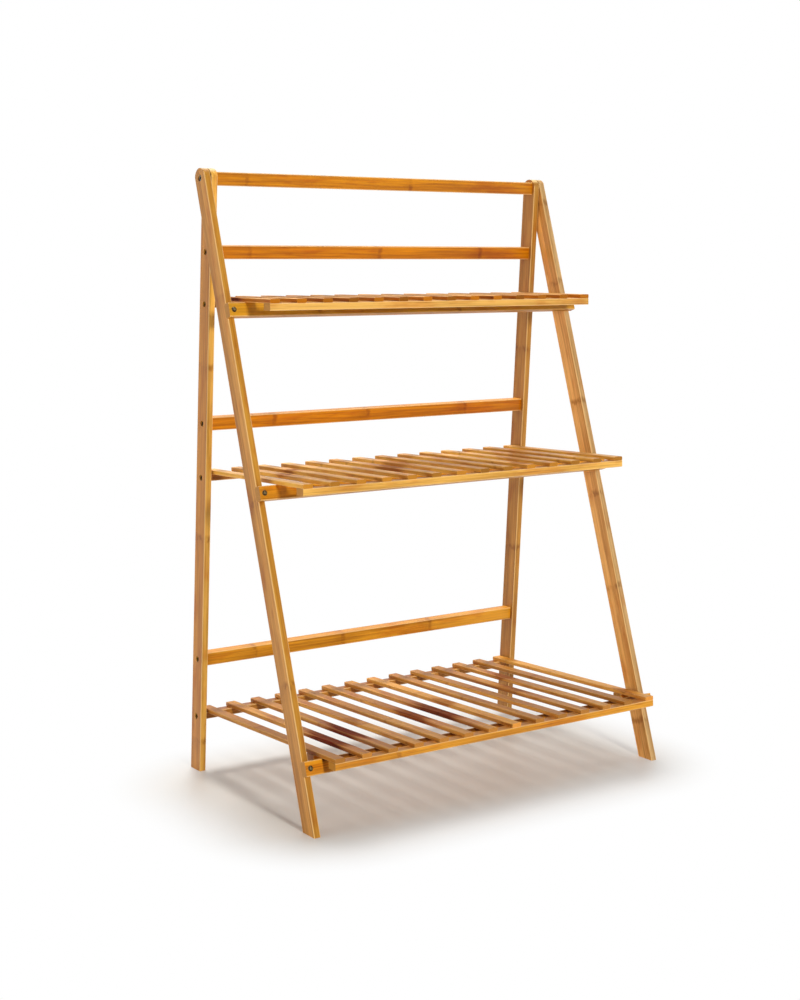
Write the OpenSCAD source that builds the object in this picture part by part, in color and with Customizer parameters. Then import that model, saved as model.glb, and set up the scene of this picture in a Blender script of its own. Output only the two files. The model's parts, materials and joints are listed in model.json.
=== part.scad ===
// Bamboo plant ladder stand with three slatted shelves.
// A front and a back frame of flat legs turn on two bolts at the top. Each shelf turns on screws
// in the back legs and rests on a crossbar of the front frame. The lowest shelf keeps the frames
// apart: its front batten lies before the lower crossbar and its stop blocks lie behind it.
// Sizes are in millimetres. The front of the stand faces -Y and the floor is at Z = 0.
// Along a leg, sizes are measured from the centre of the top bolts.

/* [Overall] */
// Width over the outer faces of the front legs
frame_w = 674; // [400:1:900]
// Height of the top bolts above the floor
pivot_h = 954; // [935:1:1200]

/* [Legs] */
// Width of each leg board, front to back
leg_w = 31; // [26:0.5:40]
// Thickness of each leg board
leg_t = 11; // [9:0.5:18]
// Lean of the front legs from upright, in degrees
front_lean = 18.2; // [14:0.1:24]
// Lean of the back legs from upright, in degrees
back_lean = 3.5; // [1:0.1:8]
// Gap between a front leg and the back leg beside it
leg_gap = 1; // [0.5:0.1:3]
// Radius of the eased edges of every board
edge_r = 1.2; // [0.3:0.1:2]

/* [Rails of the back frame] */
// Height of each rail
rail_h = 21; // [15:0.5:28]
// Thickness of each rail, front to back
rail_t = 18; // [12:0.5:24]
// Distance of the upper guard rail from the top bolts
upper_rail_s = 113; // [90:1:140]
// Distance of the middle guard rail from the top bolts
middle_rail_s = 383; // [340:1:410]
// Distance of the lower guard rail from the top bolts
lower_rail_s = 769; // [700:1:800]

/* [Crossbars of the front frame] */
// Height of each crossbar
cross_h = 22; // [16:0.5:28]
// Thickness of each crossbar, front to back
cross_t = 13; // [9:0.5:18]
// Length that a crossbar runs past the outer face of a leg
cross_over = 3; // [0:0.5:10]
// Distance of the upper crossbar from the top bolts
upper_cross_s = 218; // [210:1:226]
// Distance of the middle crossbar from the top bolts
middle_cross_s = 501; // [490:1:512]
// Distance of the lower crossbar from the top bolts
lower_cross_s = 909.5; // [900:0.5:918]

/* [Shelves] */
// Distance of the top shelf's hinge from the top bolts
top_hinge_s = 194; // [188:1:200]
// Distance of the middle shelf's hinge from the top bolts
middle_hinge_s = 470; // [462:1:478]
// Distance of the bottom shelf's hinge from the top bolts
bottom_hinge_s = 865; // [858:1:872]
// Reach of the top shelf from its hinge to its front edge
top_reach = 179; // [160:1:183]
// Reach of the middle shelf from its hinge to its front edge
middle_reach = 288; // [262:1:290]
// Reach of the bottom shelf from its hinge to its front edge
bottom_reach = 399; // [392:1:402]
// Gap between a shelf and the back leg beside it
shelf_gap = 3; // [1:0.1:5]
// Number of slats in each shelf
slat_n = 14; // [8:1:20]
// Width of each slat
slat_w = 17; // [10:0.5:24]
// Thickness of each slat
slat_t = 6.5; // [4:0.5:10]
// Depth of each batten under the slats, front to back
batten_d = 18.5; // [12:0.5:24]
// Height of each batten under the slats
batten_h = 11; // [9:0.5:14]
// Gap between the slats and the crossbar that they lie over
rest_gap = 0.3; // [0.1:0.1:1]

/* [Stop blocks of the bottom shelf] */
// Depth of each block, front to back
block_d = 18.5; // [10:0.5:24]
// Height of each block
block_h = 11; // [8:0.5:14]
// Gap between a block and the upper back edge of the lower crossbar
block_gap = 9.5; // [8:0.5:14]

/* [Top bolts] */
// Diameter of each bolt
bolt_d = 6; // [4:0.5:8]
// Diameter of each bolt's head
bolt_head_d = 9.6; // [9:0.1:13]
// Thickness of each bolt's head
bolt_head_t = 3.5; // [2:0.5:5]
// Width across the flats of the hexagon recess in each bolt's head
bolt_key_w = 4; // [2.5:0.5:5]
// Depth to which each bolt's head is sunk in the front leg
bolt_sink = 5; // [3:0.5:6]
// Length of each bolt inside the top rail
bolt_bite = 32; // [15:1:45]
// Outer diameter of the washer between a front and a back leg
washer_d = 16; // [11:0.5:20]

/* [Screws] */
// Diameter of each screw's shank
screw_d = 4; // [3:0.5:5]
// Diameter of each screw's round head
screw_head_d = 8.4; // [7:0.1:11]
// Height of each screw's round head
screw_head_t = 2.8; // [1.5:0.1:4]
// Width of the cross recess in each screw's head
recess_w = 1.3; // [0.6:0.1:1.8]
// Length of the cross recess in each screw's head
recess_l = 4.4; // [3:0.1:6]
// Depth of the cross recess in each screw's head
recess_d = 1.6; // [0.8:0.1:2]
// Depth to which the screws in the back legs are sunk
screw_sink = 3.6; // [1.5:0.1:5]
// Length of each screw beyond the board that its head holds
screw_bite = 26; // [12:1:28]
// Length of the point of each screw
screw_point = 4; // [2:0.5:6]
// Outer diameter of the spacer between a shelf and a back leg
spacer_d = 10; // [7:0.1:11]

/* [Fits] */
// Gap all round between a shank and the bore that it turns in or passes through
run_gap = 0.06; // [0.02:0.01:0.1]
// Gap all round between a sunk head and its recess
head_gap = 0.5; // [0.3:0.1:1]
// Free depth of a blind bore beyond the point in it
bore_spare = 1; // [0.5:0.1:3]

/* [Hidden] */
$fn = 64;
leg_colour = [0.76, 0.54, 0.30];
rail_colour = [0.79, 0.50, 0.16];
crossbar_colour = [0.84, 0.58, 0.26];
slat_colour = [0.80, 0.60, 0.42];
batten_colour = [0.88, 0.67, 0.34];
bronze_colour = [0.45, 0.38, 0.28];
steel_colour = [0.62, 0.60, 0.56];
spacer_colour = [0.82, 0.78, 0.70];

// Overlap that lets one cut run through another without a skin between them
through = 1;

// Distances across the stand, from its middle plane
front_leg_x = frame_w/2 - leg_t;
back_leg_x = front_leg_x - leg_gap - leg_t;
back_face_x = back_leg_x + leg_t;
shelf_w = 2*(back_leg_x - shelf_gap);
cross_l = frame_w + 2*cross_over;
leg_mid_x = front_leg_x + leg_t/2;
slat_pitch = (shelf_w - slat_w)/(slat_n - 1);

// A shelf is drawn round its hinge axis, which is the middle of its rear batten
slat_under = batten_h/2;
slat_top = slat_under + slat_t;
batten_low = slat_under - batten_h;

// Places that are given as [Y, Z] from the centre of the top bolts
function on_back_leg(s) = [s*sin(back_lean), -s*cos(back_lean)];
function on_front_leg(s, ahead) = [-s*sin(front_lean) - ahead*cos(front_lean),
                                   -s*cos(front_lean) + ahead*sin(front_lean)];

// Centre of the eased edge along the top front of a crossbar, on which a shelf rests
function rest_edge(cross_s) = on_front_leg(cross_s - cross_h/2 + edge_r, leg_w/2 + cross_t - edge_r);
// Rise of a shelf towards its front, in degrees, so that its slats lie over that edge
function shelf_rise(hinge_s, cross_s) =
    let (v = rest_edge(cross_s) - on_back_leg(hinge_s))
    atan2(v[1], -v[0]) - asin((slat_under - rest_gap - edge_r)/norm(v));

top_rise = shelf_rise(top_hinge_s, upper_cross_s);
middle_rise = shelf_rise(middle_hinge_s, middle_cross_s);
bottom_rise = shelf_rise(bottom_hinge_s, lower_cross_s);

// Reach from the bottom shelf's hinge to the front faces of its stop blocks
cross_back_edge = on_front_leg(lower_cross_s - cross_h/2, leg_w/2) - on_back_leg(bottom_hinge_s);
block_reach = -cross_back_edge[0]*cos(bottom_rise) + cross_back_edge[1]*sin(bottom_rise) - block_gap;

// The origin lies on the floor, midway between the foremost and the rearmost points of the stand
function shelf_front(hinge_s, reach, rise) =
    -on_back_leg(hinge_s)[0] + reach*cos(rise)
    + max((edge_r - batten_low)*sin(rise) - 2*edge_r*sin(rise), -slat_top*sin(rise));
front_foot = pivot_h*tan(front_lean) + leg_w/2/cos(front_lean);
back_foot = pivot_h*tan(back_lean) + leg_w/2/cos(back_lean);
foremost = max(front_foot,
               shelf_front(top_hinge_s, top_reach, top_rise),
               shelf_front(middle_hinge_s, middle_reach, middle_rise),
               shelf_front(bottom_hinge_s, bottom_reach, bottom_rise));
pivot_y = (foremost - back_foot)/2;

// ---- Frames in which the pieces are drawn ----

// The back frame: its legs run down -Z from the top bolts
module in_back_frame() {
    translate([0, pivot_y, pivot_h]) rotate([back_lean, 0, 0]) children();
}

// The front frame: its legs run down -Z from the top bolts
module in_front_frame() {
    translate([0, pivot_y, pivot_h]) rotate([-front_lean, 0, 0]) children();
}

// A shelf: its hinge axis is the X axis and it runs forward along -Y
module in_shelf(hinge_s, rise) {
    in_back_frame() translate([0, 0, -hinge_s]) rotate([-back_lean - rise, 0, 0]) children();
}

// The same piece on the left and on the right
module both_sides() {
    children();
    mirror([1, 0, 0]) children();
}

// ---- Shapes that repeat ----

// Outline of a board with eased edges, centred
module eased_outline(w, h) {
    square([w - 2*edge_r, h], center = true);
    square([w, h - 2*edge_r], center = true);
    for (x = [-1, 1], y = [-1, 1])
        translate([x*(w/2 - edge_r), y*(h/2 - edge_r)]) circle(edge_r);
}

// Bar along X, centred: depth along Y and height along Z
module bar_x(length, depth, height) {
    rotate([90, 0, 90]) linear_extrude(length, center = true) eased_outline(depth, height);
}

// Slat forward along -Y from y0 to the reach, with its underside at Z = slat_under
module slat(x, y0, reach) {
    translate([x, y0, slat_under + slat_t/2])
        rotate([90, 0, 0])
            linear_extrude(reach + y0) eased_outline(slat_w, slat_t);
}

// Cylinder along +X from the origin
module rod_x(length, d) {
    rotate([0, 90, 0]) cylinder(h = length, d = d);
}

// Side outline of a leg: a round top about the bolt and a foot cut level with the floor.
// The lean is positive towards the front.
module leg_outline(lean) {
    function foot(ahead) = -(pivot_h + ahead*sin(lean))/cos(lean);
    difference() {
        polygon([[-leg_w/2, leg_w/2], [leg_w/2, leg_w/2],
                 [leg_w/2, foot(-leg_w/2)], [-leg_w/2, foot(leg_w/2)]]);
        difference() {
            translate([-leg_w, 0]) square([2*leg_w, leg_w]);
            circle(leg_w/2);
        }
    }
}

// Leg board with its inner face at X = 0 and its outer face at X = leg_t
module leg_board(lean) {
    longest = pivot_h + leg_w;
    intersection() {
        rotate([90, 0, 90]) linear_extrude(leg_t) leg_outline(lean);
        translate([leg_t/2, 0, leg_w - longest/cos(lean) - leg_w])
            linear_extrude(longest/cos(lean) + leg_w) eased_outline(leg_t, leg_w);
    }
}

// Screw with a round head: the head's flat lies at Z = 0 and the shank runs down -Z
module round_screw(length) {
    head_r = (screw_head_d*screw_head_d/4 + screw_head_t*screw_head_t)/(2*screw_head_t);
    difference() {
        intersection() {
            translate([0, 0, screw_head_t - head_r]) sphere(head_r);
            cylinder(h = screw_head_t, d = screw_head_d);
        }
        translate([0, 0, screw_head_t - recess_d/2])
            for (turn = [0, 90])
                rotate([0, 0, turn]) cube([recess_l, recess_w, recess_d], center = true);
    }
    translate([0, 0, screw_point - length]) cylinder(h = length - screw_point, d = screw_d);
    translate([0, 0, -length]) cylinder(h = screw_point, d1 = 0.2*screw_d, d2 = screw_d);
}

// Blind bore for a shank that bites to the given depth, along +X from the origin
module bore_x(bite, d) {
    translate([-through, 0, 0]) rod_x(through + bite + bore_spare, d + 2*run_gap);
}

// Flat ring along +X from the origin
module ring_x(thickness, outer_d, inner_d) {
    difference() {
        rod_x(thickness, outer_d);
        translate([-through, 0, 0]) rod_x(thickness + 2*through, inner_d + 2*run_gap);
    }
}

// ---- Back frame ----

back_screw_s = [upper_rail_s, middle_rail_s, lower_rail_s, top_hinge_s, middle_hinge_s, bottom_hinge_s];
sunk_screw_l = leg_t - screw_sink + screw_bite;

// Right back leg, with the bolt's hole and the sunk holes of the rail and hinge screws
module back_leg() {
    difference() {
        translate([back_leg_x, 0, 0]) leg_board(-back_lean);
        translate([back_leg_x - through, 0, 0]) rod_x(leg_t + 2*through, bolt_d + 2*run_gap);
        for (s = back_screw_s) {
            translate([back_leg_x - through, 0, -s]) rod_x(leg_t + 2*through, screw_d + 2*run_gap);
            translate([back_face_x - screw_sink, 0, -s])
                rod_x(screw_sink + through, screw_head_d + 2*head_gap);
        }
    }
}

// Rail between the back legs, with a blind bore in each end
module rail(s, bite, d) {
    in_back_frame() translate([0, 0, -s]) difference() {
        bar_x(2*back_leg_x, rail_t, rail_h);
        both_sides() translate([back_leg_x, 0, 0]) mirror([1, 0, 0]) bore_x(bite, d);
    }
}

// Screw through a back leg from its outer face, sunk below it
module leg_screw(s) {
    translate([back_face_x - screw_sink, 0, -s]) rotate([0, 90, 0]) round_screw(sunk_screw_l);
}

// Socket head bolt: the head is sunk in the front leg and the shank runs into the top rail
module pivot_bolt() {
    head_x = frame_w/2 - bolt_sink;
    shank_l = head_x - back_leg_x + bolt_bite;
    difference() {
        union() {
            translate([head_x, 0, 0]) rod_x(bolt_head_t, bolt_head_d);
            translate([head_x - shank_l, 0, 0]) rod_x(shank_l + bolt_head_t/2, bolt_d);
        }
        translate([head_x + bolt_head_t/3, 0, 0])
            rotate([0, 90, 0]) cylinder(h = bolt_head_t, d = bolt_key_w/cos(30), $fn = 6);
    }
}

// ---- Front frame ----

// Right front leg, with the sunk hole that turns on the bolt and the crossbar screws' bores
module front_leg() {
    difference() {
        translate([front_leg_x, 0, 0]) leg_board(front_lean);
        translate([front_leg_x - through, 0, 0]) rod_x(leg_t + 2*through, bolt_d + 2*run_gap);
        translate([frame_w/2 - bolt_sink, 0, 0])
            rod_x(bolt_sink + through, bolt_head_d + 2*head_gap);
        for (s = [upper_cross_s, middle_cross_s, lower_cross_s])
            translate([leg_mid_x, -leg_w/2, -s]) rotate([0, 0, 90]) bore_x(screw_bite, screw_d);
    }
}

// Crossbar against the front edges of the front legs, drilled for a screw at each leg
module crossbar(s) {
    in_front_frame() translate([0, -leg_w/2 - cross_t/2, -s]) difference() {
        bar_x(cross_l, cross_t, cross_h);
        both_sides() translate([leg_mid_x, -cross_t/2 - through, 0])
            rotate([0, 0, 90]) rod_x(cross_t + 2*through, screw_d + 2*run_gap);
    }
}

// Round-headed screw through a crossbar into the leg behind it
module crossbar_screw(s) {
    translate([leg_mid_x, -leg_w/2 - cross_t, -s])
        rotate([90, 0, 0]) round_screw(cross_t + screw_bite);
}

// ---- Shelves ----

// Slats of one shelf, from the back of the rear batten to the front of the front batten
module slats(hinge_s, reach, rise) {
    in_shelf(hinge_s, rise)
        for (i = [0 : slat_n - 1])
            slat(slat_w/2 - shelf_w/2 + i*slat_pitch, batten_d/2, reach);
}

// Batten under the front ends of the slats
module front_batten(hinge_s, reach, rise) {
    in_shelf(hinge_s, rise)
        translate([0, batten_d/2 - reach, slat_under - batten_h/2])
            bar_x(shelf_w, batten_d, batten_h);
}

// Batten under the rear ends of the slats, bored in each end for the screw that it turns on
module rear_batten(hinge_s, rise) {
    in_shelf(hinge_s, rise) difference() {
        bar_x(shelf_w, batten_d, batten_h);
        both_sides() translate([shelf_w/2, 0, 0]) mirror([1, 0, 0])
            bore_x(screw_bite - shelf_gap, screw_d);
    }
}

// Block under an outer slat of the bottom shelf, behind the lower crossbar
module stop_block() {
    translate([shelf_w/2 - slat_w/2, block_d/2 - block_reach, slat_under - block_h/2])
        bar_x(slat_w, block_d, block_h);
}

// ---- Sub-parts ----

module back_leg_left() {
    color(leg_colour) in_back_frame() mirror([1, 0, 0]) back_leg();
}

module back_leg_right() {
    color(leg_colour) in_back_frame() back_leg();
}

module top_rail() {
    color(rail_colour) rail(0, bolt_bite, bolt_d);
}

module upper_guard_rail() {
    color(rail_colour) rail(upper_rail_s, screw_bite, screw_d);
}

module middle_guard_rail() {
    color(rail_colour) rail(middle_rail_s, screw_bite, screw_d);
}

module lower_guard_rail() {
    color(rail_colour) rail(lower_rail_s, screw_bite, screw_d);
}

module rail_screws() {
    color(bronze_colour) in_back_frame() both_sides()
        for (s = [upper_rail_s, middle_rail_s, lower_rail_s]) leg_screw(s);
}

module hinge_screws() {
    color(bronze_colour) in_back_frame() both_sides()
        for (s = [top_hinge_s, middle_hinge_s, bottom_hinge_s]) leg_screw(s);
}

module hinge_spacers() {
    color(spacer_colour) in_back_frame() both_sides()
        for (s = [top_hinge_s, middle_hinge_s, bottom_hinge_s])
            translate([shelf_w/2, 0, -s]) ring_x(shelf_gap, spacer_d, screw_d);
}

module pivot_bolts() {
    color(steel_colour) in_back_frame() both_sides() pivot_bolt();
}

module pivot_washers() {
    color(steel_colour) in_back_frame() both_sides()
        translate([back_face_x, 0, 0]) ring_x(leg_gap, washer_d, bolt_d);
}

module front_leg_left() {
    color(leg_colour) in_front_frame() mirror([1, 0, 0]) front_leg();
}

module front_leg_right() {
    color(leg_colour) in_front_frame() front_leg();
}

module upper_crossbar() {
    color(crossbar_colour) crossbar(upper_cross_s);
}

module middle_crossbar() {
    color(crossbar_colour) crossbar(middle_cross_s);
}

module lower_crossbar() {
    color(crossbar_colour) crossbar(lower_cross_s);
}

module crossbar_screws() {
    color(bronze_colour) in_front_frame() both_sides()
        for (s = [upper_cross_s, middle_cross_s, lower_cross_s]) crossbar_screw(s);
}

module top_slats() {
    color(slat_colour) slats(top_hinge_s, top_reach, top_rise);
}

module top_front_batten() {
    color(batten_colour) front_batten(top_hinge_s, top_reach, top_rise);
}

module top_rear_batten() {
    color(batten_colour) rear_batten(top_hinge_s, top_rise);
}

module middle_slats() {
    color(slat_colour) slats(middle_hinge_s, middle_reach, middle_rise);
}

module middle_front_batten() {
    color(batten_colour) front_batten(middle_hinge_s, middle_reach, middle_rise);
}

module middle_rear_batten() {
    color(batten_colour) rear_batten(middle_hinge_s, middle_rise);
}

module bottom_slats() {
    color(slat_colour) slats(bottom_hinge_s, bottom_reach, bottom_rise);
}

module bottom_front_batten() {
    color(batten_colour) front_batten(bottom_hinge_s, bottom_reach, bottom_rise);
}

module bottom_rear_batten() {
    color(batten_colour) rear_batten(bottom_hinge_s, bottom_rise);
}

module stop_blocks() {
    color(batten_colour) in_shelf(bottom_hinge_s, bottom_rise) both_sides() stop_block();
}

back_leg_left();
back_leg_right();
top_rail();
upper_guard_rail();
middle_guard_rail();
lower_guard_rail();
rail_screws();
hinge_screws();
hinge_spacers();
pivot_bolts();
pivot_washers();
front_leg_left();
front_leg_right();
upper_crossbar();
middle_crossbar();
lower_crossbar();
crossbar_screws();
top_slats();
top_front_batten();
top_rear_batten();
middle_slats();
middle_front_batten();
middle_rear_batten();
bottom_slats();
bottom_front_batten();
bottom_rear_batten();
stop_blocks();
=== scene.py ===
"""Looks of the bamboo ladder stand: lacquered bamboo, screws and bolts, floor, light and camera.

Lengths are in metres and positions are in the CAD's frame, with the front of the stand at -Y.
"""

import json
import math
from typing import NamedTuple

import bpy
from mathutils import Matrix, Vector


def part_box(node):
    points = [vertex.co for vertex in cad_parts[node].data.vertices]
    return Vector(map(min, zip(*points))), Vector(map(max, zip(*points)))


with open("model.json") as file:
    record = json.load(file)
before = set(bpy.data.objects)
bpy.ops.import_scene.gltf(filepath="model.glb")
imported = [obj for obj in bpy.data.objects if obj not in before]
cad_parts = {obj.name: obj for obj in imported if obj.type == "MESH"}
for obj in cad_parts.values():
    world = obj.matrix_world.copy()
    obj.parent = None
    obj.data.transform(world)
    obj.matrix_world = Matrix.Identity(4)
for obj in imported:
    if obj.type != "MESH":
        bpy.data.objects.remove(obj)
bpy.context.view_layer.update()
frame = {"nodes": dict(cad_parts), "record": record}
record = frame["record"]


# ---- Places that the frame gives ----

MOUNTS = {mount["name"]: mount for mount in record["mounts"]}
JOINTS = {joint["name"]: joint for joint in record["behaviour"]["joints"]}
PIVOT = Vector(JOINTS["front_fold"]["pos_m"])
FRONT_LEAN = math.atan2(PIVOT.y - MOUNTS["front_foot_left"]["pos_m"][1], PIVOT.z)
BACK_LEAN = math.atan2(MOUNTS["back_foot_left"]["pos_m"][1] - PIVOT.y, PIVOT.z)


def node_box(node):
    """Lowest and highest corners of a CAD node at rest."""
    low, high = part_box(node)
    return Vector(low), Vector(high)


def node_centre(node):
    """Middle of a CAD node's box at rest."""
    low, high = node_box(node)
    return (low + high) / 2


def shelf_hinge(shelf):
    """A point on the axis that a shelf turns on."""
    return Vector(JOINTS[f"{shelf}_shelf_lift"]["pos_m"])


def shelf_rise(shelf):
    """Rise of a shelf towards its front, in radians."""
    return math.asin(MOUNTS[f"{shelf}_shelf_top"]["axis"][1])


# ---- Kinds of boards, with the sizes that they have in the CAD ----

class Kind(NamedTuple):
    """What boards of one kind have in common.

    width is the size across a board's face and thick is the size through it.
    """

    width: float
    thick: float
    count: int = 1  # boards side by side in one CAD node
    strips: int = 1  # laminated strips side by side in a board
    fibres: float = 2.6  # contrast of the fine fibres
    streaks: float = 2.3  # contrast of the broader streaks
    own: float = 0.5  # contrast between one strip and the next
    blots: tuple = (0.25, 0.95)  # darkness of a culm's node between its blots and in them
    reach: float = 0.0070  # how far a culm's node fades out either way
    arris_highlight: float = 0.8  # strength of the painted highlight along the long edges
    specular: float = 0.25  # specular level of the lacquer
    coat: float = 0.08  # weight of the clear coat on it


LEG = Kind(0.031, 0.011, strips=2, fibres=2.0, streaks=1.3, blots=(0.0, 1.0), reach=0.0095)
RAIL = Kind(0.021, 0.018)
CROSSBAR = Kind(0.022, 0.013)
BATTEN = Kind(0.011, 0.0185)
SLAT = Kind(0.017, 0.0065, count=14, own=1.5, arris_highlight=0.3, specular=0.20, coat=0.0)

SLATS_LOW, SLATS_HIGH = node_box("bottom_slats")
SLAT_PITCH = (SLATS_HIGH.x - SLATS_LOW.x - SLAT.width) / (SLAT.count - 1)


# ---- Colours, as sRGB from 0 to 255 ----

def linear(red, green, blue):
    """Linear colour of an sRGB triple."""
    def channel(value):
        value = value / 255
        return value / 12.92 if value <= 0.04045 else ((value + 0.055) / 1.055) ** 2.4
    return (channel(red), channel(green), channel(blue), 1.0)


# Wide sides, narrow sides and sawn ends of each board, and the start of its random numbers. The
# tones were set board by board to how each side looked lit, so some of them hold painted light and shade.
# The legs' ends are pale as a painted highlight on the rounded tops of the legs
LEG_ENDS_HIGHLIGHT = linear(240, 202, 134)
BAR_ENDS = linear(190, 130, 48)
# The rear battens get a dark tone as painted shade
SHADED_REAR_BATTEN = (linear(170, 112, 40), linear(158, 98, 34), BAR_ENDS)
BOARDS = {
    "front_leg_left": (linear(196, 136, 58), linear(182, 126, 40), LEG_ENDS_HIGHLIGHT, 15),
    # front_leg_right is made paler as painted light, to make up for the shade that the shelves cast on it,
    # and its narrow sides are paler still as a painted highlight
    "front_leg_right": (linear(226, 167, 88), linear(206, 167, 110), LEG_ENDS_HIGHLIGHT, 16),
    # back_leg_left's narrow sides are pale as painted light, to make up for the shadow of the front leg
    "back_leg_left": (linear(198, 133, 52), linear(241, 186, 84), LEG_ENDS_HIGHLIGHT, 13),
    "back_leg_right": (linear(176, 122, 50), linear(183, 130, 52), LEG_ENDS_HIGHLIGHT, 14),
    "top_rail": (linear(205, 130, 12), linear(222, 152, 50), BAR_ENDS, 21),
    "upper_guard_rail": (linear(206, 126, 4), linear(222, 152, 50), BAR_ENDS, 22),
    "middle_guard_rail": (linear(206, 125, 4), linear(222, 152, 50), BAR_ENDS, 23),
    "lower_guard_rail": (linear(208, 142, 30), linear(222, 152, 50), BAR_ENDS, 24),
    "upper_crossbar": (linear(194, 135, 30), linear(206, 144, 40), BAR_ENDS, 31),
    "middle_crossbar": (linear(207, 137, 28), linear(206, 144, 40), BAR_ENDS, 32),
    "lower_crossbar": (linear(212, 138, 26), linear(206, 144, 40), BAR_ENDS, 33),
    # The tops of the front battens are darkened as painted shade in the gaps between the slats
    "top_front_batten": (linear(211, 159, 75), linear(182, 122, 58), BAR_ENDS, 46),
    "middle_front_batten": (linear(230, 177, 82), linear(182, 122, 58), BAR_ENDS, 48),
    "bottom_front_batten": (linear(217, 149, 36), linear(204, 139, 60), BAR_ENDS, 50),
    "top_rear_batten": (*SHADED_REAR_BATTEN, 45),
    "middle_rear_batten": (*SHADED_REAR_BATTEN, 47),
    "bottom_rear_batten": (*SHADED_REAR_BATTEN, 49),
    "stop_blocks": (linear(210, 150, 60), linear(182, 122, 58), BAR_ENDS, 90),
    # The fronts of the top and middle shelves' slats are darker as painted shade, and the tops of their
    # slats are paler, partly as painted sheen
    "top_slats": (linear(232, 174, 95), linear(182, 105, 3), linear(171, 99, 3), 60),
    "middle_slats": (linear(233, 178, 99), linear(218, 160, 64), linear(184, 121, 34), 80),
    "bottom_slats": (linear(209, 147, 56), linear(200, 139, 54), linear(211, 140, 57), 100),
}

# Shades that multiply a board's colour
CULM_SHADE = (0.60, 0.48, 0.34, 1.0)
DARK_STRETCH_SHADE = (0.27, 0.055, 0.015, 1.0)
SEAM_SHADE = (0.84, 0.66, 0.46, 1.0)
WARM_SHADE = (0.86, 0.70, 0.56, 1.0)
DEEP = (0.70, 0.60, 0.46, 1.0)
PALE = (1.24, 1.28, 1.40, 1.0)

# Pale tone of the painted highlight along the arrises
ARRIS_HIGHLIGHT_TONE = linear(244, 206, 138)
# Painted shadow of the slats on the front of the lower crossbar
SHELF_SHADOW_COLOUR = linear(100, 54, 20)
# Bright crown of the crossbar screws, worn and partly a painted highlight
WORN_AND_HIGHLIT_BRONZE = linear(176, 156, 112)
NYLON_DARK = linear(196, 188, 170)
NYLON_LIGHT = linear(222, 216, 200)
FLOOR_DARK = linear(218, 213, 204)
FLOOR_LIGHT = linear(226, 222, 214)
WHITE = (1.0, 1.0, 1.0, 1.0)


# ---- Short names for shader nodes ----

BUMP_HEIGHT = 0.0004


class Number:
    """A number in a shader tree. The signs + - * / and abs() add the node that works it out."""

    def __init__(self, tree, socket):
        self.tree = tree
        self.socket = socket

    def __add__(self, other):
        return self.tree.math("ADD", self, other)

    def __radd__(self, other):
        return self.tree.math("ADD", other, self)

    def __sub__(self, other):
        return self.tree.math("SUBTRACT", self, other)

    def __rsub__(self, other):
        return self.tree.math("SUBTRACT", other, self)

    def __mul__(self, other):
        return self.tree.math("MULTIPLY", self, other)

    def __truediv__(self, other):
        return self.tree.math("DIVIDE", self, other)

    def __abs__(self):
        return self.tree.math("ABSOLUTE", self)


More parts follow.
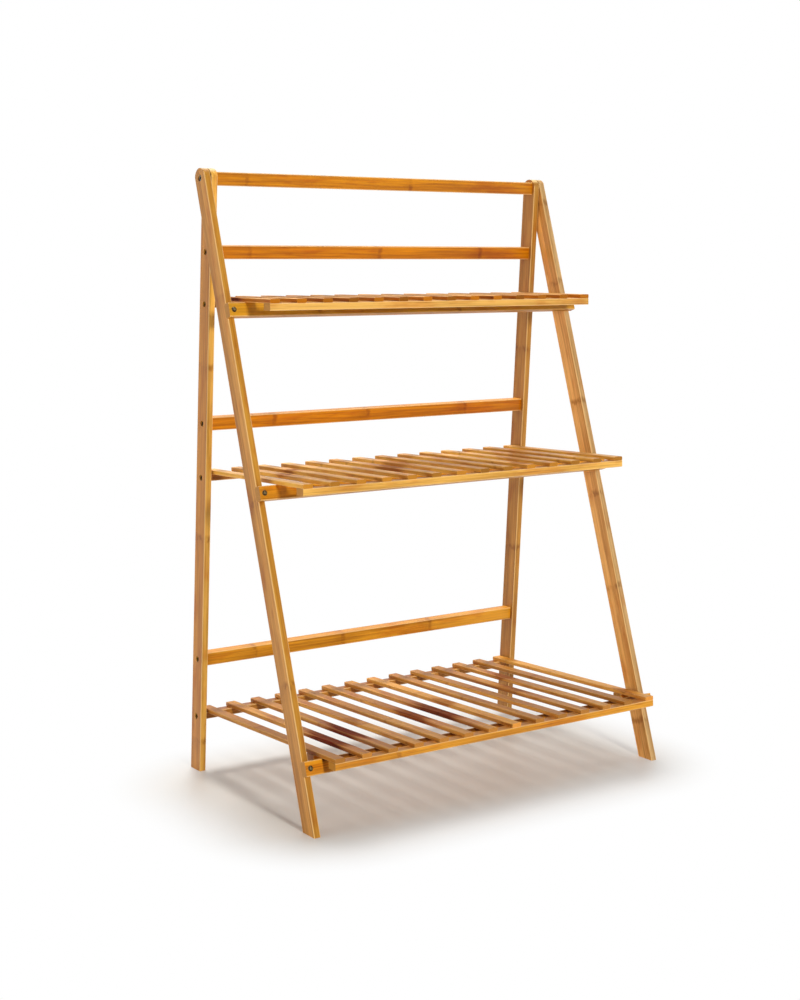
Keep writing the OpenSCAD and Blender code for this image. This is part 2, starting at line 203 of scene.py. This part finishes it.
class Tree:
    """Shader tree of a material or of the world, with a short call for each kind of node that is used."""

    def __init__(self, owner):
        owner.use_nodes = True
        self.owner = owner
        self.nodes = owner.node_tree.nodes
        self.links = owner.node_tree.links
        self.nodes.clear()

    def put(self, socket, value):
        """Links a socket, or sets its value."""
        if isinstance(value, Number):
            value = value.socket
        if isinstance(value, bpy.types.NodeSocket):
            self.links.new(value, socket)
        elif value is not None:
            socket.default_value = value

    def node(self, kind, inputs=(), **settings):
        """New node with its settings, and its inputs in order."""
        node = self.nodes.new(kind)
        for key, value in settings.items():
            setattr(node, key, value)
        for socket, value in zip(node.inputs, inputs):
            self.put(socket, value)
        return node

    def math(self, operation, first, second=None, third=None, clamp=False):
        """One sum on numbers."""
        node = self.node("ShaderNodeMath", (first, second, third), operation=operation, use_clamp=clamp)
        return Number(self, node.outputs[0])

    def larger(self, first, second):
        """The larger of two numbers."""
        return self.math("MAXIMUM", first, second)

    def smaller(self, first, second):
        """The smaller of two numbers."""
        return self.math("MINIMUM", first, second)

    def join(self, x, y, z):
        """Vector from three numbers."""
        return self.node("ShaderNodeCombineXYZ", (x, y, z)).outputs[0]

    def split(self, vector):
        """The three numbers of a vector."""
        node = self.node("ShaderNodeSeparateXYZ", (vector,))
        return [Number(self, socket) for socket in node.outputs]

    def dot(self, first, second):
        """Dot product of two vectors."""
        node = self.node("ShaderNodeVectorMath", (first, second), operation="DOT_PRODUCT")
        return Number(self, node.outputs["Value"])

    def ramp(self, value, low, high, to_low=0.0, to_high=1.0):
        """Smooth step from one value to another as the input goes from low to high."""
        node = self.node("ShaderNodeMapRange", (value, low, high, to_low, to_high),
                         interpolation_type="SMOOTHSTEP")
        return Number(self, node.outputs[0])

    def noise(self, vector, detail=2.0, roughness=0.5):
        """Noise from 0 to 1 in a space whose unit is the size of one blot."""
        node = self.node("ShaderNodeTexNoise")
        settings = {"Vector": vector, "Scale": 1.0, "Detail": detail, "Roughness": roughness}
        for name, value in settings.items():
            self.put(node.inputs[name], value)
        return Number(self, node.outputs[0])

    def dice(self, number):
        """Random number from 0 to 1 for each whole number."""
        node = self.node("ShaderNodeTexWhiteNoise", noise_dimensions="1D")
        self.put(node.inputs["W"], number)
        return Number(self, node.outputs["Value"])

    def mix(self, share, first, second, blend="MIX"):
        """Mix of two colours."""
        node = self.node("ShaderNodeMix", data_type="RGBA", blend_type=blend)
        for index, value in ((0, share), (6, first), (7, second)):
            self.put(node.inputs[index], value)
        return node.outputs[2]

    def tint(self, share, colour, shade):
        """Colour times a shade, as far as the share goes."""
        return self.mix(share, colour, shade, blend="MULTIPLY")

    def scale(self, vector, factor):
        """Colour or vector times a number."""
        node = self.node("ShaderNodeVectorMath", operation="SCALE")
        self.put(node.inputs[0], vector if isinstance(vector, bpy.types.NodeSocket) else vector[:3])
        self.put(node.inputs["Scale"], factor)
        return node.outputs[0]

    def sees_backdrop(self):
        """1 for the rays that meet the white background, and 0 for the rays that light the stand."""
        ray = self.node("ShaderNodeLightPath")
        seen = ray.outputs["Is Camera Ray"]
        for kind in ("Is Glossy Ray", "Is Transmission Ray"):
            seen = self.larger(seen, ray.outputs[kind])
        return seen

    def surface(self, colour, roughness, height=None, bump=0.1, **fixed):
        """Closes the tree with one surface shader, and returns the material."""
        shader = self.node("ShaderNodeBsdfPrincipled")
        self.put(shader.inputs["Base Color"], colour)
        self.put(shader.inputs["Roughness"], roughness)
        for name, value in fixed.items():
            shader.inputs[name.replace("_", " ")].default_value = value
        if height is not None:
            relief = self.node("ShaderNodeBump")
            settings = {"Strength": bump, "Distance": BUMP_HEIGHT, "Height": height}
            for name, value in settings.items():
                self.put(relief.inputs[name], value)
            self.put(shader.inputs["Normal"], relief.outputs[0])
        self.node("ShaderNodeOutputMaterial", (shader.outputs[0],))
        return self.owner


def new_tree(name):
    """Tree of a new material."""
    return Tree(bpy.data.materials.new(name))


def dress(node, material):
    """Gives a CAD node its finish."""
    slots = frame["nodes"][node].data.materials
    slots.clear()
    slots.append(material)


# ---- Bamboo ----

# Parts of the surface normal between which one side of a board turns into another
WIDE_SIDE = (0.55, 0.8)
SAWN_END = (0.6, 0.85)

# Blots of each noise in a metre, along a board and across it
FIBRES = (9.0, 420.0)
STREAKS = (4.0, 70.0)
CLOUDS = (16.0, 60.0)
BLOTS = (60.0, 75.0)

# Blots in a metre of the noises that change only over a board's cross section
WAVES = 160.0
PORES = 1500.0

# How far apart the random numbers of two boards lie, and how far the grain of two strips can differ
BOARD_STEP = 7.0
GRAIN_SHIFT = 9.0

# Values of the noises between which something sets in, and then what they turn into
CARBONISED = (0.50, 0.72)
BLOT_EDGE = (0.36, 0.62)
DARK_STRETCH_STREAKS = (0.34, 0.58, 0.62, 1.0)
PORE_TONES = (0.3, 0.7, 0.70, 1.12)
SLAT_END_TONES = (0.0, 1.0, 0.66, 1.30)

# A culm's node: half the length of its dark core, the skirt before it, and how far it strays
CORE = 0.0012
SKIRT = 0.030
SKIRT_END = 0.005
SKIRT_SHADE = 0.30
STRAY = 0.008

# The nodes of the slats: their spacing, the turns that they start with, how far they reach and how
# dark they are
SLAT_NODE_SPACING = 0.31
SLAT_NODE_TURNS = 3.0
SLAT_NODE = (0.0008, 0.006)
SLAT_NODE_SHADE = 0.55

# How far the ragged edge of a dark stretch strays, and where it and the seam around it fade out, in
# lengths of the stretch
DARK_STRETCH_STRAY = 0.09
DARK_STRETCH_EDGE = (0.5, 1.3)
SEAM_EDGE = (1.0, 2.2)

# Width of the painted highlight along an arris, which makes the lacquer paler there
ARRIS = 0.0019

# Painted shade on the front of the lower crossbar, standing for the shadow of its shelf's slats: the parts
# of the surface normal between which it runs out, how soft its ends are, and how far below the top of the
# bar it starts and ends
SHELF_SHADOW_FACING = (-0.9, -0.3)
SHELF_SHADOW_END = 0.002
SHELF_SHADOW_TOP = 0.002
SHELF_SHADOW_BOTTOM = 0.009

# Roughness of the lacquer, what the grain and a dark stretch add to it, and that of the clear coat
LACQUER_ROUGHNESS = 0.34
GRAIN_ROUGHNESS = 0.16
DARK_STRETCH_ROUGHNESS = 0.45
COAT_ROUGHNESS = 0.2


class Board:
    """Shader tree of a board, or of a row of slats, with its own coordinates and noises.

    along, across and through are coordinates in the board's own axes. In a row, slat counts the slats
    from the left, and across is measured from the middle of the slat.
    """

    def __init__(self, name, kind, origin, turn, axes):
        self.kind = kind
        self.face, self.edge, self.ends, seed = BOARDS[name]
        self.tree = tree = new_tree(name + "_bamboo")
        texture = tree.node("ShaderNodeTexCoord")
        places = tree.node("ShaderNodeMapping", (texture.outputs["Object"],), vector_type="POINT")
        places.inputs["Location"].default_value = -(Matrix.Rotation(turn, 3, "X") @ origin)
        facing = tree.node("ShaderNodeMapping", (texture.outputs["Normal"],), vector_type="NORMAL")
        for mapping in (places, facing):
            mapping.inputs["Rotation"].default_value = (turn, 0.0, 0.0)
        place = dict(zip("XYZ", tree.split(places.outputs[0])))
        normal = dict(zip("XYZ", tree.split(facing.outputs[0])))
        self.along, self.across, self.through = (place[axis] for axis in axes)
        self.end_facing = normal[axes[0]]
        self.face_facing = normal[axes[2]]

        # every strip of every board has its own random number, and with it its own tone and grain
        self.number = float(seed)
        if kind.count > 1:
            first = -(kind.count - 1) / 2
            self.slat = tree.math("ROUND", self.across / SLAT_PITCH - first)
            self.across = self.across - (self.slat + first) * SLAT_PITCH
            self.number = self.slat + float(seed)
        strip = tree.math("FLOOR", (self.across + kind.width / 2) / (kind.width / kind.strips))
        self.own = tree.dice(self.number * BOARD_STEP + strip)
        self.shift = self.own * GRAIN_SHIFT
        self.grain = self.lengthwise(FIBRES, detail=3.0, roughness=0.65)
        self.broad = self.lengthwise(STREAKS)
        self.cloud = self.lengthwise(CLOUDS, detail=3.0)
        self.stray = (self.crosswise(WAVES) - 0.5) * STRAY

    def lengthwise(self, rates, **settings):
        """Noise that is drawn out along the board."""
        place = self.tree.join(self.along * rates[0] + self.shift, self.across * rates[1],
                               self.through * rates[1])
        return self.tree.noise(place, **settings)

    def crosswise(self, rate):
        """Noise that changes only over the board's cross section."""
        return self.tree.noise(self.tree.join(self.across * rate, self.through * rate, self.number))


def sides(board):
    """Colour of the wide and narrow sides, with fibres, streaks and strips of different tone."""
    tree, kind = board.tree, board.kind
    # the tones of the wide and narrow sides were set to how they looked lit, so the step between them is
    # partly painted sheen and light
    wide = tree.ramp(abs(board.face_facing), *WIDE_SIDE)
    colour = tree.mix(wide, board.edge, board.face)
    tone = 0.5
    for source, contrast in ((board.grain, kind.fibres), (board.broad, kind.streaks), (board.own, kind.own)):
        tone = tone + (source - 0.5) * contrast
    tone = tree.smaller(tree.larger(tone, 0.0), 1.0)
    colour = tree.tint(1.0, colour, tree.mix(tone, DEEP, PALE))

    # darker, redder stretches where the bamboo was carbonised more
    return tree.tint(tree.ramp(board.cloud, *CARBONISED), colour, WARM_SHADE)


def culm_nodes(board, bands):
    """How far the culm's nodes at the given places along a board darken it.

    A node is a soft mark with a paler skirt before it, and blots break it up across the board.
    """
    tree, kind = board.tree, board.kind
    blot = tree.noise(tree.join(board.along * BLOTS[0], board.across * BLOTS[1],
                                board.number + board.through * BLOTS[1]))
    blot = tree.ramp(blot, *BLOT_EDGE, *kind.blots)
    shade = 0.0
    for place in bands:
        off = board.along + board.stray - place
        core = tree.ramp(abs(off), CORE, kind.reach, 1.0, 0.0) * blot
        skirt = tree.ramp(off, -SKIRT, 0.0, 0.0, SKIRT_SHADE) * tree.ramp(off, 0.0, SKIRT_END, 1.0, 0.0)
        shade = tree.larger(tree.larger(core, skirt), shade)
    return shade


def slat_nodes(board):
    """How far evenly spaced nodes darken each slat, from a start of its own."""
    tree = board.tree
    turns = (board.along + board.stray) / SLAT_NODE_SPACING + (board.own + SLAT_NODE_TURNS)
    off = abs(tree.math("FRACT", turns) - 0.5) * SLAT_NODE_SPACING
    return tree.ramp(off, *SLAT_NODE, SLAT_NODE_SHADE, 0.0)


def slat_darkening(board, dark_stretches):
    """How far the dark stretches of single slats darken them, and the same for a redder seam around."""
    tree = board.tree
    darkened, seam = 0.0, 0.0
    streaky = tree.ramp(board.grain, *DARK_STRETCH_STREAKS)
    for slat, forward, length, darkness in dark_stretches:
        here = tree.math("COMPARE", board.slat, float(slat), 0.5)
        off = abs(board.along + forward) + (board.broad - 0.5) * DARK_STRETCH_STRAY
        core, around = (tree.ramp(off, low * length, high * length, darkness, 0.0)
                        for low, high in (DARK_STRETCH_EDGE, SEAM_EDGE))
        darkened = tree.larger(here * (core * streaky), darkened)
        seam = tree.larger(here * around, seam)
    return darkened, seam


def sawn_ends(board):
    """Colour of the sawn ends, which show the cut fibres. Those of the slats differ more."""
    tree = board.tree
    sawn = tree.scale(board.ends, tree.ramp(board.crosswise(PORES), *PORE_TONES))
    if board.kind.count > 1:
        sawn = tree.scale(sawn, tree.ramp(board.own, *SLAT_END_TONES))
    return sawn


def painted_arris_highlight(board):
    """How far a painted highlight makes the lacquer paler along the arrises."""
    tree, kind = board.tree, board.kind
    near_side = tree.ramp(abs(board.across), kind.width / 2 - ARRIS, kind.width / 2)
    near_face = tree.ramp(abs(board.through), kind.thick / 2 - ARRIS, kind.thick / 2)
    return near_side * near_face * kind.arris_highlight


def painted_shelf_shadow(board, laden):
    """How far painted shade, standing for the shadow of the slats, darkens the front of a board just below a
    shelf of the given half width.
    """
    tree = board.tree
    top = board.kind.width / 2
    under = (tree.ramp(abs(board.along), laden - SHELF_SHADOW_END, laden, 1.0, 0.0)
             * tree.ramp(board.across, top - SHELF_SHADOW_BOTTOM, top - SHELF_SHADOW_TOP))
    return under * tree.ramp(board.face_facing, *SHELF_SHADOW_FACING, 1.0, 0.0)


def dress_bamboo(name, kind, origin, turn, axes, bands=(), dark_stretches=(), laden=None):
    """Lacquered bamboo for a CAD node.

    The board is turned about X, and its coordinates start at origin. axes names the board's own axes
    that run along it, across its face and through it. bands are places of the culm's nodes along the
    board, dark_stretches lists dark stretches of single slats, and laden is half the width of a shelf
    that lies on the board, below which the board's front gets painted shade for the shadow of the shelf.
    """
    board = Board(name, kind, origin, turn, axes)
    tree = board.tree
    colour = sides(board)
    if bands:
        colour = tree.tint(culm_nodes(board, bands), colour, CULM_SHADE)
    if kind.count > 1:
        colour = tree.tint(slat_nodes(board), colour, CULM_SHADE)
    darkened = 0.0
    if dark_stretches:
        darkened, seam = slat_darkening(board, dark_stretches)
        colour = tree.tint(seam, colour, SEAM_SHADE)
        colour = tree.tint(darkened, colour, DARK_STRETCH_SHADE)
    colour = tree.mix(tree.ramp(abs(board.end_facing), *SAWN_END), colour, sawn_ends(board))
    # painted highlight along the arrises, left out on the dark stretches
    colour = tree.mix(painted_arris_highlight(board) * (1.0 - darkened), colour, ARRIS_HIGHLIGHT_TONE)
    # painted shadow of the shelf's slats on the front of the lower crossbar, just below the shelf
    if laden:
        colour = tree.mix(painted_shelf_shadow(board, laden), colour, SHELF_SHADOW_COLOUR)

    # the dark stretches are duller than the rest
    roughness = LACQUER_ROUGHNESS + board.grain * GRAIN_ROUGHNESS
    roughness = tree.math("ADD", roughness, darkened * DARK_STRETCH_ROUGHNESS, clamp=True)
    dress(name, tree.surface(colour, roughness, height=board.grain, bump=0.2, Coat_Weight=kind.coat,
                             Coat_Roughness=COAT_ROUGHNESS, Specular_IOR_Level=kind.specular))


# ---- Metal and nylon ----

# Light and dark tones of each plating, its roughness, and its clouds in a metre
PLATINGS = {
    "antique_bronze": (linear(140, 120, 84), linear(74, 60, 40), 0.38, 900.0),
    "dark_bronze": (linear(92, 76, 54), linear(44, 35, 25), 0.45, 900.0),
    "zinc_plate": (linear(158, 150, 134), linear(104, 97, 84), 0.36, 700.0),
}
CLOUD_EDGE = (0.35, 0.65)

# How many times finer the roughness of the plating is than its clouds, and how much it varies
FINER = 6
PLATING_ROUGHNESS = 0.18

# How dark a screw's rim is against its plating, and the parts of the normal between which its bright
# crown sets in, worn and partly a painted highlight
RIM_SHADE = 0.5
CROWN = (0.80, 0.97)

NYLON_CLOUDS = 400.0
NYLON_ROUGHNESS = (0.2, 0.8, 0.42, 0.55)


def metal(name, axis=None):
    """Plated metal with a worn, slightly cloudy surface.

    axis, where given, is the way the screws face: their crowns are bright, worn and partly a painted
    highlight, and their rims are dark.
    """
    light, dark, roughness, clouds = PLATINGS[name]
    tree = new_tree(name)
    texture = tree.node("ShaderNodeTexCoord")
    cloud = tree.noise(tree.scale(texture.outputs["Object"], clouds), detail=4.0, roughness=0.6)
    fine = tree.noise(tree.scale(texture.outputs["Object"], clouds * FINER))
    colour = tree.mix(tree.ramp(cloud, *CLOUD_EDGE), dark, light)
    if axis:
        # bright crown, worn and partly a painted highlight, over a darker rim
        crown = tree.ramp(abs(tree.dot(texture.outputs["Normal"], axis)), *CROWN)
        colour = tree.mix(crown, tree.scale(colour, RIM_SHADE), WORN_AND_HIGHLIT_BRONZE)
    rough = roughness + fine * PLATING_ROUGHNESS
    return tree.surface(colour, rough, height=fine, bump=0.15, Metallic=1.0)


def nylon(name):
    """Natural nylon, slightly mottled."""
    tree = new_tree(name)
    place = tree.node("ShaderNodeTexCoord").outputs["Object"]
    cloud = tree.noise(tree.scale(place, NYLON_CLOUDS), detail=3.0)
    colour = tree.mix(cloud, NYLON_DARK, NYLON_LIGHT)
    return tree.surface(colour, tree.ramp(cloud, *NYLON_ROUGHNESS), height=cloud, bump=0.1)


# ---- Where each board lies ----

# Places of the culm's nodes, as heights against the bolts on the legs, and from the middle to the right
# on the bars
BANDS = {
    "back_leg_left": (-0.293, -0.568, -0.905),
    "back_leg_right": (-0.282, -0.646),
    "front_leg_left": (-0.190, -0.512, -0.787),
    "front_leg_right": (-0.032, -0.175, -0.388, -0.550, -0.712, -0.940),
    "top_rail": (-0.259, 0.052),
    "upper_guard_rail": (-0.251, -0.003, 0.206),
    "middle_guard_rail": (-0.198, -0.017, 0.187),
    "lower_guard_rail": (-0.223, -0.050, 0.133),
    "upper_crossbar": (-0.180, 0.090),
    "middle_crossbar": (-0.020, 0.255),
    "lower_crossbar": (-0.120, 0.150),
    "top_front_batten": (),
    "middle_front_batten": (),
    "bottom_front_batten": (-0.200,),
    "top_rear_batten": (-0.240, 0.030),
    "middle_rear_batten": (-0.100, 0.190),
    "bottom_rear_batten": (-0.170, 0.120),
}

# Dark stretches on single slats: which slat from the left, how far forward of the hinge, how long
# either way, how dark
SLAT_DARK_STRETCHES = {
    "top": ((0, 0.062, 0.018, 0.6), (2, 0.055, 0.010, 0.3), (13, 0.030, 0.015, 0.3)),
    "middle": ((1, 0.144, 0.020, 0.6), (2, 0.095, 0.014, 0.7), (5, 0.165, 0.036, 0.6),
               (6, 0.115, 0.040, 0.55), (9, 0.256, 0.014, 0.5), (10, 0.205, 0.024, 0.25),
               (11, 0.140, 0.018, 0.25), (12, 0.078, 0.020, 0.2)),
    "bottom": ((1, 0.290, 0.054, 1.0), (2, 0.274, 0.054, 1.0), (3, 0.225, 0.022, 0.3),
               (5, 0.262, 0.058, 0.85), (6, 0.258, 0.062, 0.95), (7, 0.215, 0.020, 0.45),
               (10, 0.208, 0.055, 0.5), (11, 0.130, 0.024, 0.65), (13, 0.345, 0.014, 0.5)),
}


def dress_legs():
    """Legs: the grain runs down from the bolts, and the wide sides face left and right."""
    for side in ("left", "right"):
        for place, turn in (("front", FRONT_LEAN), ("back", -BACK_LEAN)):
            name = f"{place}_leg_{side}"
            bolt = Vector((node_centre(name).x, PIVOT.y, PIVOT.z))
            dress_bamboo(name, LEG, bolt, turn, "ZYX", BANDS[name])


def dress_bars():
    """Rails and crossbars: the grain runs from side to side."""
    for name in ("top_rail", "upper_guard_rail", "middle_guard_rail", "lower_guard_rail"):
        dress_bamboo(name, RAIL, node_centre(name), -BACK_LEAN, "XZY", BANDS[name])
    for name in ("upper_crossbar", "middle_crossbar", "lower_crossbar"):
        # only the lower crossbar gets the painted shadow under its shelf
        laden = SLATS_HIGH.x if name == "lower_crossbar" else None
        dress_bamboo(name, CROSSBAR, node_centre(name), FRONT_LEAN, "XZY", BANDS[name], laden=laden)


def dress_shelves():
    """Shelves: slats run front to back on battens that run from side to side."""
    for shelf in ("top", "middle", "bottom"):
        rise = shelf_rise(shelf)
        for name in (f"{shelf}_front_batten", f"{shelf}_rear_batten"):
            dress_bamboo(name, BATTEN, node_centre(name), rise, "XZY", BANDS[name])
        up = Matrix.Rotation(-rise, 3, "X") @ Vector((0, 0, BATTEN.width / 2 + SLAT.thick / 2))
        dress_bamboo(f"{shelf}_slats", SLAT, shelf_hinge(shelf) + up, rise, "YXZ", dark_stretches=SLAT_DARK_STRETCHES[shelf])
    dress_bamboo("stop_blocks", BATTEN, node_centre("stop_blocks"), shelf_rise("bottom"), "XZY")


def dress_hardware():
    """Screws, bolts, washers and spacers."""
    forward = (0.0, -math.cos(FRONT_LEAN), math.sin(FRONT_LEAN))
    dress("crossbar_screws", metal("antique_bronze", axis=forward))
    dark_bronze = metal("dark_bronze")
    for name in ("rail_screws", "hinge_screws"):
        dress(name, dark_bronze)
    zinc_plate = metal("zinc_plate")
    for name in ("pivot_bolts", "pivot_washers"):
        dress(name, zinc_plate)
    dress("hinge_spacers", nylon("natural_nylon"))


# ---- Stage ----

FLOOR_SIZE = 12.0
FLOOR_ROUGHNESS = 0.45
FLOOR_BLOTS = 3.0

# The floor is grey as far as this from a middle, to the sides and to front and back, and then fades
FLOOR_MIDDLE = (-0.025, -0.02)
FLOOR_REACH = (0.255, 0.10)
FLOOR_FADE = (0.05, 0.24)


def make_floor():
    """Warm grey floor under the stand, which fades into the white background."""
    bpy.ops.mesh.primitive_plane_add(size=FLOOR_SIZE, location=(0, 0, 0))
    floor = bpy.context.object
    floor.name = "floor"
    tree = new_tree("floor_finish")
    spot = tree.node("ShaderNodeNewGeometry").outputs["Position"]
    squares = []
    for place, middle, reach in zip(tree.split(spot), FLOOR_MIDDLE, FLOOR_REACH):
        beyond = tree.larger(abs(place - middle) - reach, 0.0)
        squares.append(beyond * beyond)
    away = tree.math("SQRT", squares[0] + squares[1])
    mottle = tree.noise(tree.scale(spot, FLOOR_BLOTS))
    matt = tree.node("ShaderNodeBsdfPrincipled")
    tree.put(matt.inputs["Base Color"], tree.mix(mottle, FLOOR_DARK, FLOOR_LIGHT))
    matt.inputs["Roughness"].default_value = FLOOR_ROUGHNESS
    glow = tree.node("ShaderNodeEmission", (WHITE, 1.0))
    share = tree.ramp(away, *FLOOR_FADE) * tree.sees_backdrop()
    blend = tree.node("ShaderNodeMixShader", (share, matt.outputs[0], glow.outputs[0]))
    tree.node("ShaderNodeOutputMaterial", (blend.outputs[0],))
    floor.data.materials.append(tree.owner)


# Strength of the studio's light between two parts of the direction that it comes from: from the front
# to the back, and from the horizon upwards
SWEEP = (-0.4, 0.7)
SWEEP_LIGHT = (0.30, 1.0)
RISE = (0.10, 0.28)
RISE_LIGHT = (1.0, 0.24)


def make_world():
    """Studio with a white sweep behind the stand. Past the floor the camera sees plain white."""
    world = bpy.data.worlds.new("studio")
    bpy.context.scene.world = world
    tree = Tree(world)
    direction = tree.split(tree.node("ShaderNodeTexCoord").outputs["Generated"])
    strength = (tree.ramp(direction[1], *SWEEP, *SWEEP_LIGHT)
                * tree.ramp(direction[2], *RISE, *RISE_LIGHT))
    soft = tree.node("ShaderNodeBackground", (WHITE, strength))
    white = tree.node("ShaderNodeBackground", (WHITE, 1.0))
    blend = tree.node("ShaderNodeMixShader", (tree.sees_backdrop(), soft.outputs[0], white.outputs[0]))
    tree.node("ShaderNodeOutputWorld", (blend.outputs[0],))


# Place, size and power of each lamp, and whether the lacquer mirrors it
LAMPS = {
    "key": ((-0.45, -3.9, 1.62), 0.5, 112.0, False),
    "left": ((-5.0, 0.6, 0.9), 2.6, 92.0, True),
    "right": ((5.0, -0.5, 1.4), 2.6, 72.0, True),
    "overhead": ((0.1, 1.1, 3.3), 1.1, 80.0, True),
}
STAND_MIDDLE = Vector((0, 0, 0.5))


def make_lamps():
    """Square lamps that face the middle of the stand."""
    for name, (place, size, power, mirrored) in LAMPS.items():
        light = bpy.data.lights.new(name, "AREA")
        light.shape = "SQUARE"
        light.size = size
        light.energy = power
        lamp = bpy.data.objects.new(name, light)
        lamp.location = place
        lamp.rotation_euler = (STAND_MIDDLE - Vector(place)).to_track_quat("-Z", "Y").to_euler()
        lamp.visible_glossy = mirrored
        bpy.context.scene.collection.objects.link(lamp)


# ---- Camera, at the place from which the photograph was taken ----

CAMERA_PLACE = Vector((-1.5750, -2.1865, 0.8474))
CAMERA_YAW = math.radians(-35.11)
CAMERA_DOWN = math.radians(6.864)
CAMERA_ROLL = math.radians(0.278)
FOCAL_PIXELS = 1678.1
PHOTO_WIDTH = 800
PHOTO_HEIGHT = 1000
OPTICAL_CENTRE = (408.5, 451.0)
SENSOR = 36.0
CLIP_START = 0.05


def make_camera():
    """Camera whose optical centre lies off the photograph's middle, as in a cropped picture."""
    camera = bpy.data.cameras.new("camera")
    camera.sensor_width = SENSOR
    camera.lens = FOCAL_PIXELS * SENSOR / PHOTO_HEIGHT
    camera.shift_x = (PHOTO_WIDTH / 2 - OPTICAL_CENTRE[0]) / PHOTO_HEIGHT
    camera.shift_y = (OPTICAL_CENTRE[1] - PHOTO_HEIGHT / 2) / PHOTO_HEIGHT
    camera.clip_start = CLIP_START
    view = bpy.data.objects.new("camera", camera)
    turn = (Matrix.Rotation(CAMERA_YAW, 4, "Z") @ Matrix.Rotation(math.radians(90) - CAMERA_DOWN, 4, "X")
            @ Matrix.Rotation(CAMERA_ROLL, 4, "Z"))
    view.matrix_world = Matrix.Translation(CAMERA_PLACE) @ turn
    bpy.context.scene.collection.objects.link(view)
    bpy.context.scene.camera = view


# ---- The scene ----

dress_legs()
dress_bars()
dress_shelves()
dress_hardware()
make_floor()
make_world()
make_lamps()
make_camera()
bpy.context.scene.view_settings.view_transform = "Standard"
